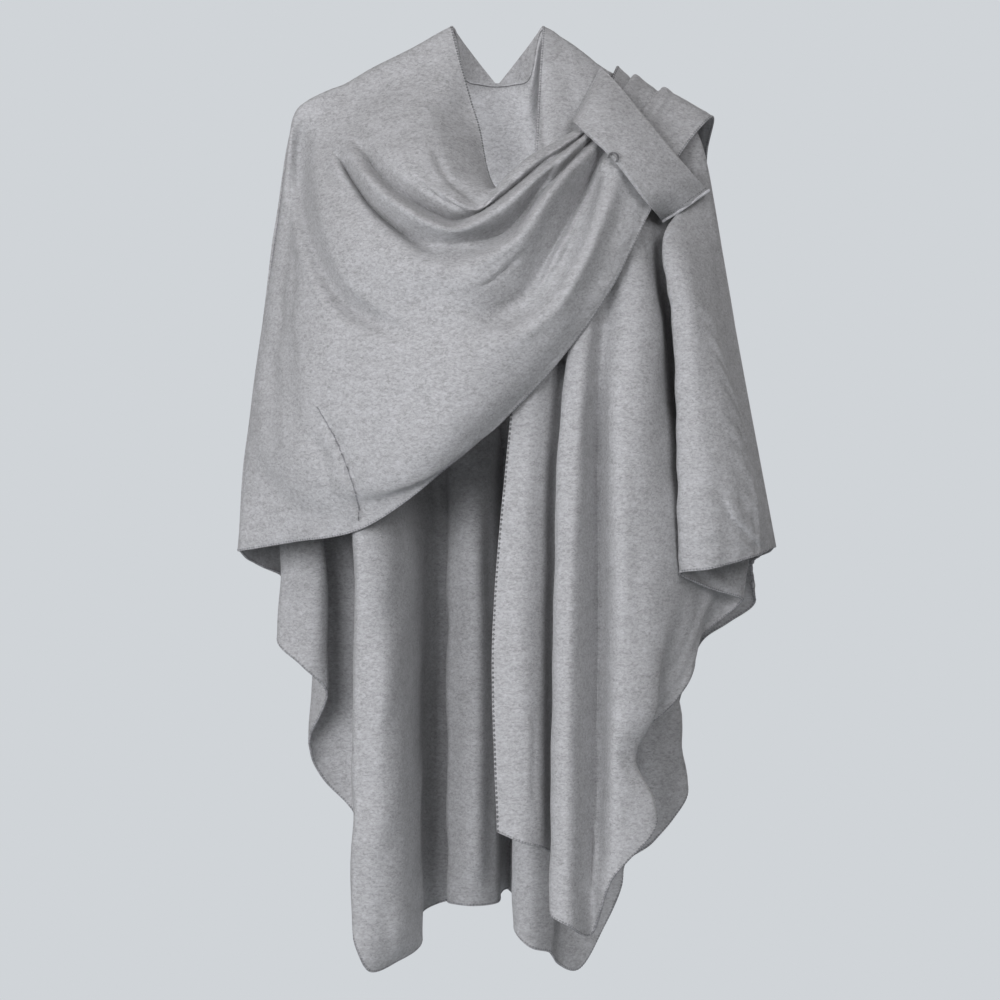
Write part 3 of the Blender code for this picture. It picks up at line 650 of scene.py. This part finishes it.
def waved(grid):
    """The left front with the wave in its hem."""
    level = np.exp(-((grid[..., 2] - WAVE_HEIGHT) / WAVE_TALL)**2)
    at = level * eased((grid[..., 0] - WAVE_FROM) / WAVE_WIDE)
    return grid - np.stack((WAVE_DEEP * at, 0 * at, 0 * at), axis=2)


BUMP_WAVES = 9                # that add up to a panel's soft bumps
BUMP_PITCH = (0.6, 1.6)       # least and most of them in one size
BUMP_EASE = 40                # from the level lip at a sewn edge to full bumps


def uneven(grid, height, size, seed):
    """The panel with soft bumps and dips, size across, none at its first line, which is sewn."""
    draw = random.Random(seed)
    places = flat_places(grid) / MM
    u, v = places[..., 0] / size, places[..., 1] / size
    total = np.zeros(u.shape)
    for _ in range(BUMP_WAVES):
        turn = draw.uniform(0, math.pi)
        pitch = draw.uniform(*BUMP_PITCH)
        phase = draw.uniform(0, 2 * math.pi)
        total += np.sin(2 * math.pi * pitch * (u * math.cos(turn) + v * math.sin(turn)) + phase)
    from_seam = eased((places[..., 1] - LIP) / BUMP_EASE)
    return grid + facing(grid) * (height * total / math.sqrt(BUMP_WAVES) * from_seam)[..., None]


# ---- pieces ----

def flat_places(grid):
    """Where each point of a panel lies on its flat cut, in metres: (across, down)."""
    across = np.linalg.norm(np.diff(grid, axis=0), axis=2)
    down = np.linalg.norm(np.diff(grid, axis=1), axis=2)
    u = np.concatenate((np.zeros((1, grid.shape[1])), across.cumsum(axis=0)))
    v = np.concatenate((np.zeros((grid.shape[0], 1)), down.cumsum(axis=1)), axis=1)
    return np.stack((u, v), axis=2) * MM


def facing(grid):
    """The unit direction that each point of a panel faces, out of the garment."""
    across = np.gradient(grid, axis=0)
    down = np.gradient(grid, axis=1)
    return directions(np.cross(down, across))


def worn_piece(name, data, node=None):
    """A piece on the garment's one body and, where it has one, in place of its node."""
    piece = bpy.data.objects.new(name, data)
    bpy.context.scene.collection.objects.link(piece)
    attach(piece, "root")
    if node:
        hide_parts(node)
    return piece


# a cut edge's profile: share of the half wall, and how far it stands out, as a share of the same
RIM = ((0.8, 0.25), (-0.8, 0.25))
SHARP = 40                    # degrees between faces from which an edge is drawn sharp


def cloth(name, grid, thickness, node):
    """A wall of cloth thickened both ways from the points of grid, with square cut edges."""
    wide, long = grid.shape[:2]
    half = thickness / 2
    out = facing(grid)
    index = np.arange(wide * long).reshape(wide, long)
    border = np.concatenate((index[:, 0], index[-1, 1:], index[-2::-1, -1], index[0, -2:0:-1]))
    inward = np.concatenate((index[:, 1], index[-2, 1:], index[-2::-1, -2], index[1, -2:0:-1]))
    flat, flat_out = grid.reshape(-1, 3), out.reshape(-1, 3)
    away = directions(flat[border] - flat[inward])
    rims = [flat[border] + half * (share * flat_out[border] + stand * away) for share, stand in RIM]
    points = np.concatenate([flat + half * flat_out, flat - half * flat_out] + rims)
    corners = index[:-1, :-1], index[:-1, 1:], index[1:, 1:], index[1:, :-1]
    quads = np.stack(corners, axis=2).reshape(-1, 4)
    count, edge = wide * long, len(border)
    rings = [border, 2 * count + np.arange(edge), 2 * count + edge + np.arange(edge), count + border]
    faces = [quads, quads[:, ::-1] + count]
    for upper, lower in zip(rings, rings[1:]):
        faces.append(np.stack((upper, np.roll(upper, -1), np.roll(lower, -1), lower), axis=1))
    mesh = bpy.data.meshes.new(name)
    mesh.from_pydata((points * MM).tolist(), [], np.concatenate(faces).tolist())
    places = flat_places(grid).reshape(-1, 2)
    places = np.concatenate((places, places, places[border], places[border]))
    uv = mesh.uv_layers.new(name="cut")
    loops = np.empty(len(mesh.loops), int)
    mesh.loops.foreach_get("vertex_index", loops)
    uv.data.foreach_set("uv", places[loops].ravel())
    mesh.materials.append(KNIT)
    mesh.shade_smooth()
    mesh.set_sharp_from_angle(angle=math.radians(SHARP))
    return worn_piece(name, mesh, node)


# cells here for each cell of the tables above
FINE = 4
LEFT_FRONT_LONG = 10
RIGHT_FRONT_WIDE = 6
RIGHT_FRONT_LONG = 8
BACK_LONG = 6
NECK_PIECE_CELLS = 4          # up each half of its height
TO_STRAP = 7                  # spans of a fold of the right front, from the seam to the strap
FRONT_BUMPS = (0.7, 90)       # height and size
BACK_BUMPS = (0.9, 100)
LEFT_CREASES_FROM = -20       # the left front has its creases in front of this depth
BACK_CREASES_FROM = 72        # the back has its creases in front of this one
BACK_CREASES_EASE = 14        # and they are full so far in front of it

left_front = left_front_grid(spans(len(LEFT_FRONT_FOLDS) - 1, LEFT_FRONT_CELLS * FINE),
                             finer(LEFT_FRONT_ALONG, LEFT_FRONT_LONG))
right_front = right_front_grid(finer(RIGHT_FRONT_ACROSS, RIGHT_FRONT_WIDE),
                               finer(RIGHT_FRONT_ALONG, RIGHT_FRONT_LONG))
back = back_grid(spans(len(BACK_FOLDS) - 1, BACK_CELLS * FINE), finer(BACK_ALONG, BACK_LONG))
neck_folds = [i for i, row in enumerate(BACK_FOLDS) if row[0] in NECK_DEPTH]
neck_seam = back[BACK_CELLS * FINE * neck_folds[0]:BACK_CELLS * FINE * neck_folds[-1] + 1, 0]
neck_piece = neck_band_grid(neck_seam, spans(2, NECK_PIECE_CELLS))
strap = strap_grid(left_front, spans(len(STRAP) - 1, STRAP_CELLS * FINE), spans(2, STRAP_CELLS * FINE))

before_strap = np.arange(right_front.shape[1]) <= RIGHT_FRONT_LONG * sum(RIGHT_FRONT_ALONG[:TO_STRAP])
right_front = creased(uneven(right_front, *FRONT_BUMPS, seed=3), RIGHT_FRONT_CREASES, before_strap[None])
left_front = creased(uneven(left_front, *FRONT_BUMPS, seed=5), LEFT_FRONT_CREASES,
                     left_front[..., 1] < LEFT_CREASES_FROM)
left_front = waved(left_front)
back = creased(uneven(back, *BACK_BUMPS, seed=7), BACK_CREASES,
               eased((BACK_CREASES_FROM - back[..., 1]) / BACK_CREASES_EASE))

pieces = {
    "left_front": cloth("left_front", left_front, CLOTH, "front_left_panel"),
    "right_front": cloth("right_front", right_front, CLOTH, "front_right_panel"),
    "back": cloth("back", back, CLOTH, "back_panel"),
    "neck_piece": cloth("neck_piece", neck_piece, CLOTH, "neck_band"),
    "strap": cloth("strap", strap, STRAP_CLOTH, "shoulder_strap"),
}


# ---- sewing ----

CORD_SIDES = 8
POINTS_A_STITCH = 3           # along a cord
COLLAR_LOW = -220             # the left front's edge shows as a collar above this height
OVERLOCK_WIDE = 3.4           # how far the stitches reach in from the edge
OVERLOCK_OVER = 0.7           # how far they reach out over it
OVERLOCK_THICK = 0.4          # both layers of them, on the cloth
SEAM_REACH = 6                # edges are sewn where they are nearer than this
SEAM_STITCH = 3.0
SEAM_TOOTH = 0.12
STITCH_SIDES = 6
STITCH_TAPER = 0.3            # share of a stitch that narrows at each end
STITCH_TIP = 0.3              # share of its radius that is left there


def sewn(name, points, faces, finish):
    """A piece of thread work from its points and faces."""
    mesh = bpy.data.meshes.new(name)
    mesh.from_pydata((np.array(points) * MM).tolist(), [], faces)
    mesh.materials.append(finish)
    mesh.shade_smooth()
    return worn_piece(name, mesh)


def side_of(grid, side, inward=0):
    """The points on one side of a panel, left, right or end, or on the line so many points inward."""
    return {"left": grid[inward], "right": grid[-1 - inward], "end": grid[:, -1 - inward]}[side]


def corded(name, line, sideways, wide, thick, pitch, tooth, finish):
    """A cord of stitches along line, oval, with a rib that stands out by tooth for each stitch.

    sideways has the direction that wide is measured in at each point of line, and thick is across it.
    """
    length = lengths(line)
    count = max(4, int(length[-1] / (pitch / POINTS_A_STITCH)))
    places = np.linspace(0, length[-1], count)
    run = at_lengths(line, length, places)
    ahead = directions(np.gradient(run, axis=0))
    out = at_lengths(sideways, length, places)
    out = directions(out - (out * ahead).sum(axis=1, keepdims=True) * ahead)
    up = np.cross(ahead, out)
    rib = np.cos(2 * math.pi * places / pitch)[:, None, None]
    turns = 2 * math.pi * np.arange(CORD_SIDES) / CORD_SIDES
    ring = (np.cos(turns)[None, :, None] * out[:, None] * (wide / 2 + tooth * rib)
            + np.sin(turns)[None, :, None] * up[:, None] * (thick / 2 + 0.5 * tooth * rib))
    points = (run[:, None] + ring).reshape(-1, 3)
    index = np.arange(count * CORD_SIDES).reshape(count, CORD_SIDES)
    turned = np.roll(index, -1, axis=1)
    quads = np.stack((index[:-1], index[1:], turned[1:], turned[:-1]), axis=2)
    faces = quads.reshape(-1, 4).tolist() + [index[0][::-1].tolist(), index[-1].tolist()]
    return sewn(name, points, faces, finish)


def overlocked(name, grid, side, start=0, end=None, finish=EDGE, tooth=0.25, pitch=3.2):
    """Overlocking over one side of a panel, left, right or end, from one of its points to another."""
    edge = side_of(grid, side)
    away = directions(edge - side_of(grid, side, 1))
    line = edge - away * (OVERLOCK_WIDE / 2 - OVERLOCK_OVER)
    return corded(name, line[start:end], side_of(facing(grid), side)[start:end],
                  CLOTH + OVERLOCK_THICK, OVERLOCK_WIDE, pitch, tooth, finish)


collar_end = int((left_front[0, :, 2] > COLLAR_LOW).sum())
overlocked("collar_edge_overlock", left_front, "left", start=6, end=collar_end)
overlocked("front_edge_overlock", left_front, "left", start=collar_end, tooth=0.45, pitch=5.0,
           finish=DARK_THREAD_AND_SHADOW_LINE)
overlocked("left_front_hem_overlock", left_front, "end")
# the neck edge is drawn in the dark finish: a painted shadow of the edge on the inside of the back
overlocked("neck_edge_overlock", right_front, "left", start=5, finish=DARK_THREAD_AND_SHADOW_LINE)
overlocked("side_edge_overlock", right_front, "right", start=5)
overlocked("tail_hem_overlock", right_front, "end")
overlocked("right_cuff_overlock", back, "left", start=6)
overlocked("back_hem_overlock", back, "end")
overlocked("left_cuff_overlock", back, "right", start=6)


def seam_between(name, first, second, radius, finish=EDGE):
    """Sewing half way between two edges of unlike point counts, along the stretch that they share."""
    nearest = np.array([second[np.linalg.norm(second - p, axis=1).argmin()] for p in first])
    near = np.linalg.norm(nearest - first, axis=1) < SEAM_REACH
    line = (first[near] + nearest[near]) / 2
    upright = np.tile((0.0, 0.0, 1.0), (len(line), 1))
    return corded(name, line, upright, 2 * radius, 2 * radius, SEAM_STITCH, SEAM_TOOTH, finish)


# the neck seam is drawn dark: painted shade where the seam's slit shows
seam_between("neck_seam", neck_seam, neck_piece.reshape(-1, 3), radius=1.3, finish=DARK_THREAD_AND_SHADOW_LINE)
seam_between("left_shoulder_seam", left_front[:, 0], back[:, 0], radius=0.9)
seam_between("right_shoulder_seam", right_front[:, 0], back[:, 0], radius=0.9)


def stitches(name, line, outward, length, gap, radius, finish):
    """A row of short thread stitches along line, lying half in the cloth."""
    along = lengths(line)
    points, faces = [], []
    at = gap
    while at + length < along[-1]:
        first, last = (at_lengths(line, along, place) for place in (at, at + length))
        ahead = (last - first) / length
        across = directions(np.cross(ahead, outward))
        taper = ahead * STITCH_TAPER * length
        sections = (first, STITCH_TIP), (first + taper, 1), (last - taper, 1), (last, STITCH_TIP)
        base = len(points)
        for centre, size in sections:
            for k in range(STITCH_SIDES):
                turn = 2 * math.pi * k / STITCH_SIDES
                points.append(centre + radius * size * (math.cos(turn) * across + math.sin(turn) * outward))
        for ring in range(len(sections) - 1):
            for k in range(STITCH_SIDES):
                a = base + ring * STITCH_SIDES + k
                b = base + ring * STITCH_SIDES + (k + 1) % STITCH_SIDES
                faces.append((a, b, b + STITCH_SIDES, a + STITCH_SIDES))
        at += length + gap
    return sewn(name, points, faces, finish)


# the strap's two ends are turned in: a rounded edge stands out along the arm's end, its cloth painted
# lighter as a painted highlight, and a stitched line runs beside each
ROLL_IN = 1.0                 # from the strap's end to the middle of that edge
ROLL_OUT = 2.4                # in front of the strap's middle surface
END_STITCHES_IN = 6           # from the strap's end to its stitched line
for label, side in (("neck", "left"), ("arm", "right")):
    edge = side_of(strap, side)
    inward = directions(side_of(strap, side, 1) - edge)
    front = side_of(facing(strap), side)
    front = front * np.sign(-front[:, 1:2])
    if label == "arm":
        corded("strap_end_roll", edge + inward * ROLL_IN + front * ROLL_OUT, inward, wide=3.4,
               thick=STRAP_CLOTH, pitch=60.0, tooth=0.0, finish=HIGHLIT_TURNED_EDGE)
    stitches("strap_%s_end_stitches" % label, edge + inward * END_STITCHES_IN + front * (STRAP_CLOTH / 2),
             front.mean(axis=0), length=2.6, gap=1.0, radius=0.45, finish=DARK_THREAD_AND_SHADOW_LINE)


# the tack near the underarm: a pressed line held by a few stitches
TACK_LINE = ((-192, -328), (-181, -348), (-171, -368), (-159, -398), (-150, -428), (-148, -450))
TACK_CELLS = 8                # between two points of that line
TACK_NEAREST = 6              # points of the panel that a place on the line is worked out from
TACK_SOFTEN = 0.1             # added to their distances, which may be nothing
TACK_OUT = 0.3                # how far the line stands out of the cloth, and its stitches
TACK_STITCHES_OUT = 0.2


def on_cloth(grid, line):
    """Points of the panel that show at the places of line (x, z), and the way the cloth faces there."""
    flat, shown, out = grid.reshape(-1, 3), as_seen(grid).reshape(-1, 2), facing(grid).reshape(-1, 3)
    points, faces = [], []
    for place in through(line, spans(len(line) - 1, TACK_CELLS)):
        gap = np.linalg.norm(shown - place, axis=1)
        pick = gap.argsort()[:TACK_NEAREST]
        share = 1 / (gap[pick] + TACK_SOFTEN)**2
        points.append((flat[pick] * share[:, None]).sum(axis=0) / share.sum())
        faces.append((out[pick] * share[:, None]).sum(axis=0) / share.sum())
    faces = np.array(faces)
    return np.array(points), faces * np.sign(-faces[:, 1:2])


tack_run, tack_out = on_cloth(right_front, TACK_LINE)
corded("tack_line", tack_run + tack_out * (CLOTH / 2 + TACK_OUT), tack_out, wide=1.0, thick=1.3,
       pitch=3.0, tooth=0.08, finish=EDGE)
stitches("tack_stitches", tack_run + tack_out * (CLOTH / 2 + TACK_STITCHES_OUT), tack_out.mean(axis=0),
         length=5.0, gap=34.0, radius=0.8, finish=DARK_THREAD_AND_SHADOW_LINE)


def thread_loop(grid):
    """A thread loop that stands on the strap's lower edge."""
    edge = grid[:, 0]
    at = edge[round(LOOP_PLACE * (len(edge) - 1))]
    centre = Vector(at) + Vector((0, -LOOP_OUT, 0))
    curve = bpy.data.curves.new("thread_loop", "CURVE")
    curve.dimensions = "3D"
    curve.bevel_depth = LOOP_THREAD * MM
    curve.bevel_resolution = 3
    curve.use_fill_caps = True
    spline = curve.splines.new("POLY")
    count = FINE * LOOP_POINTS
    spline.points.add(count - 1)
    for i, point in enumerate(spline.points):
        turn = math.radians(LOOP_START + LOOP_SWEEP * i / (count - 1))
        place = centre + Vector((math.cos(turn), 0, math.sin(turn))) * LOOP_RADIUS
        point.co = (*(place * MM), 1)
    curve.materials.append(DARK_THREAD_AND_SHADOW_LINE)
    return worn_piece("thread_loop", curve, "strap_loop")


thread_loop(strap)


# ---- light, floor and camera ----

# rows of a name, the place of its middle and its width in metres, and its watts
LAMPS = (
    ("left key", (-1.62, -3.81, 0.28), 1.8, 116),
    ("left side", (-3.43, -2.4, -0.08), 1.8, 46),
    ("right fill", (1.69, -3.19, 1.61), 1.8, 60),
    ("top", (0.17, -1.96, 3.26), 1.8, 9),
    ("back", (1.2, 3.4, 0.8), 2.4, 110),
)
LAMP_AIM = (0, 0, -0.45)      # the middle of the garment, in metres
LAMP_TINT = (0.96, 0.965, 1.0)        # linear, a little cool
AMBIENT = 0.05                # of the pale wall's brightness, on the cloth
SENSOR = 36
VIEW_WIDE = 1070              # width of the view, in the plane of the shoulders


def hang(name, data, place, aim):
    """A lamp that hangs at place and points at aim, both in metres."""
    holder = bpy.data.objects.new(name, data)
    holder.location = place
    holder.rotation_euler = (Vector(aim) - Vector(place)).to_track_quat("-Z", "Y").to_euler()
    bpy.context.scene.collection.objects.link(holder)
    return holder


def lamp(name, place, size, power, aim=LAMP_AIM):
    """A square softbox, size metres wide."""
    data = bpy.data.lights.new(name, "AREA")
    data.shape = "SQUARE"
    data.size = size
    data.energy = power
    data.color = LAMP_TINT
    return hang(name, data, place, aim)


def studio():
    """Pale studio: the cloth gets a weaker, warmer light from all round than the wall that shows."""
    world = bpy.data.worlds.new("pale studio")
    world.use_nodes = True
    tree = world.node_tree
    wall = tree.nodes["Background"]
    wall.inputs["Color"].default_value = linear("#d0d4d8")
    wall.inputs["Strength"].default_value = 1.0
    room = add(tree, "ShaderNodeBackground", {"Color": linear("#dcc2a6"), "Strength": AMBIENT})
    path = add(tree, "ShaderNodeLightPath")
    both = add(tree, "ShaderNodeMixShader", Fac=path.outputs["Is Camera Ray"], i1=room.outputs[0],
               i2=wall.outputs[0])
    tree.links.new(both.outputs[0], tree.nodes["World Output"].inputs["Surface"])
    bpy.context.scene.world = world
    bpy.context.scene.view_settings.view_transform = "Standard"
    bpy.ops.mesh.primitive_circle_add(vertices=96, radius=3.0, fill_type="NGON", location=(0, 0, -1.5))
    floor = bpy.context.object
    floor.name = "pale_floor"
    paint = bpy.data.materials.new("matte pale floor paint")
    paint.use_nodes = True
    shader = paint.node_tree.nodes["Principled BSDF"]
    shader.inputs["Base Color"].default_value = linear("#c9ced1")
    shader.inputs["Roughness"].default_value = 0.9
    floor.data.materials.append(paint)
    for name, place, size, power in LAMPS:
        lamp(name, place, size, power)
    # a small lamp inside the garment, out of sight, lights the back of the neck
    neck = lamp("neck", (0.0, -0.03, -0.21), size=0.10, power=0.46, aim=(0.005, 0.06, -0.02))
    neck.visible_camera = False


def camera():
    """A camera level at EYE, square to the shoulders."""
    data = bpy.data.cameras.new("camera")
    data.lens = SENSOR * -EYE[1] / VIEW_WIDE
    data.sensor_width = SENSOR
    eye = bpy.data.objects.new("camera", data)
    eye.location = [v * MM for v in EYE]
    eye.rotation_euler = (math.pi / 2, 0, 0)
    bpy.context.scene.collection.objects.link(eye)
    bpy.context.scene.camera = eye


studio()
camera()
